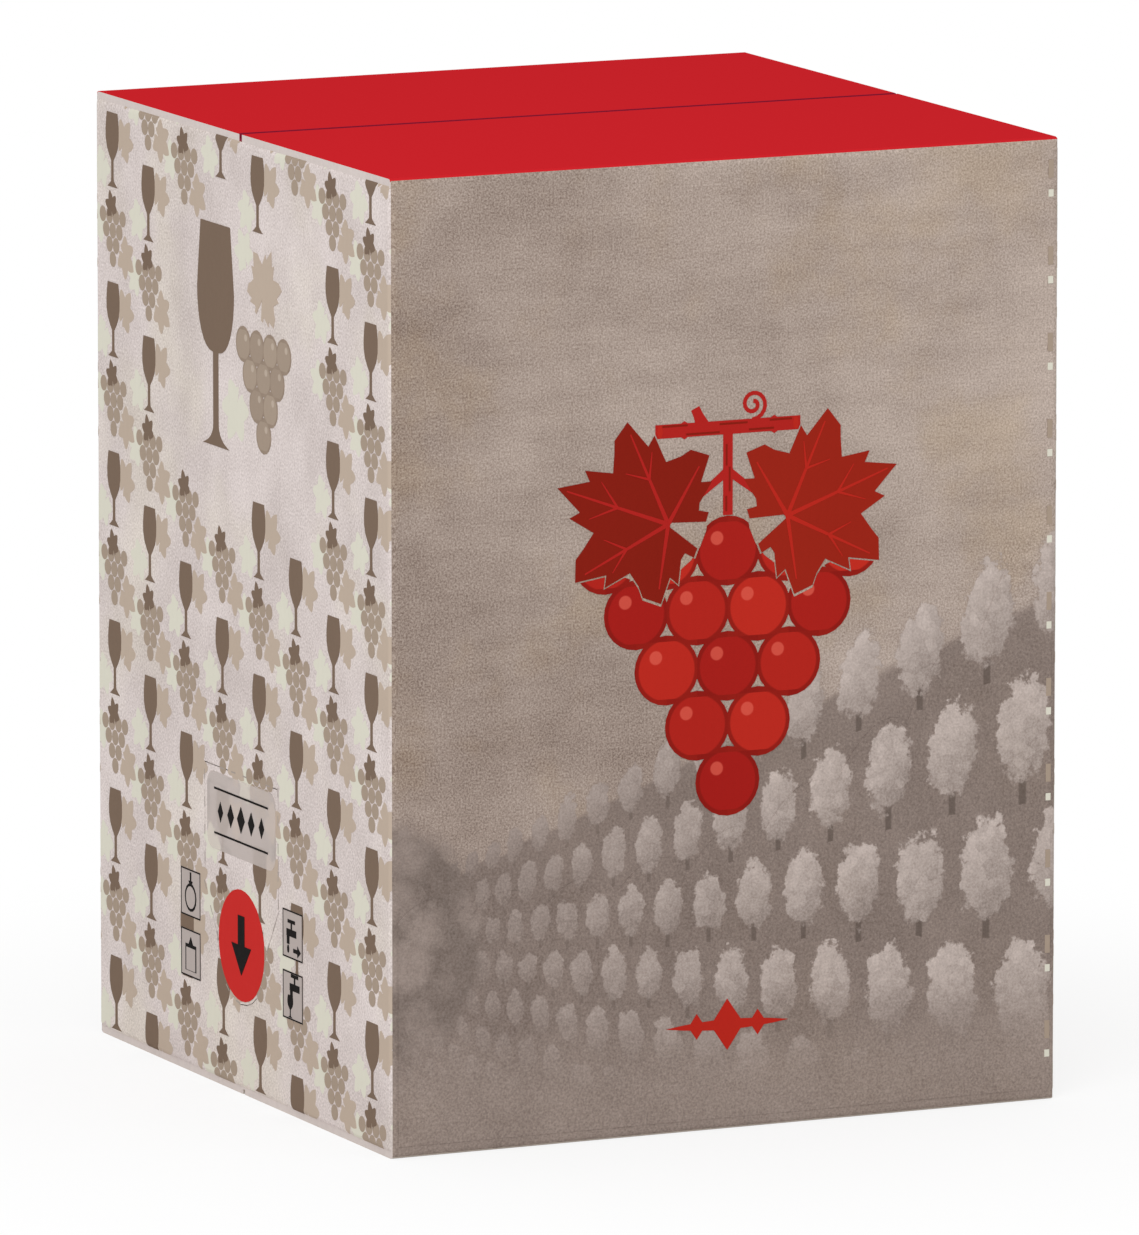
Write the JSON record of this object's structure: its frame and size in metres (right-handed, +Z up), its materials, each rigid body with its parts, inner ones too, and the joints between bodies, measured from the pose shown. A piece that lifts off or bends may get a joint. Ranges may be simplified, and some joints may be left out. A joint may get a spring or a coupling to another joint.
{
  "type": "bag in box carton",
  "caption": "Tall sealed corrugated carton for a bag of wine, with meeting top flaps, a tear-out tap panel and printed walls.",
  "frame": {"origin": "middle of the base, on the surface that the carton stands on", "axes": "+Z up, -Y out of the wide front, -X out of the side with the tear-out tap panel"},
  "size_m": [0.2404, 0.2403, 0.32],
  "materials": {
    "corrugated_board": "matte kraft",
    "taupe_liner": "matte mottled print",
    "pale_liner": "matte print",
    "red_liner": "matte print",
    "faded_ink": "matte print",
    "dark_red_ink": "matte print",
    "deep_red_ink": "matte print",
    "mid_red_ink": "matte print",
    "bright_red_ink": "matte print",
    "dark_brown_ink": "matte print",
    "mid_brown_ink": "matte print",
    "tan_ink": "matte print",
    "mauve_ink": "matte print",
    "black_ink": "matte print",
    "grey_ink": "matte print"
  },
  "bodies": {
    "root": {"carton": "corrugated_board", "front_print": "taupe_liner", "rear_print": "taupe_liner", "left_print": "pale_liner", "right_print": "pale_liner", "top_front_print": "red_liner", "top_rear_print": "red_liner", "emblem_leaf_left": "dark_red_ink", "emblem_leaf_right": "deep_red_ink", "emblem_cane": "mid_red_ink", "emblem_grapes": "bright_red_ink", "faded_vine_slope": "faded_ink", "front_ornament": "bright_red_ink", "left_glass": "dark_brown_ink", "left_bunch": "mid_brown_ink", "left_leaf": "tan_ink", "right_glass": "dark_brown_ink", "right_bunch": "mid_brown_ink", "right_leaf": "tan_ink", "label_plate": "mauve_ink", "opening_disc": "bright_red_ink", "opening_arrow": "black_ink", "pictogram_left_1": "grey_ink", "pictogram_left_2": "grey_ink", "pictogram_right_1": "grey_ink", "pictogram_right_2": "grey_ink"}
  },
  "joints": []
}
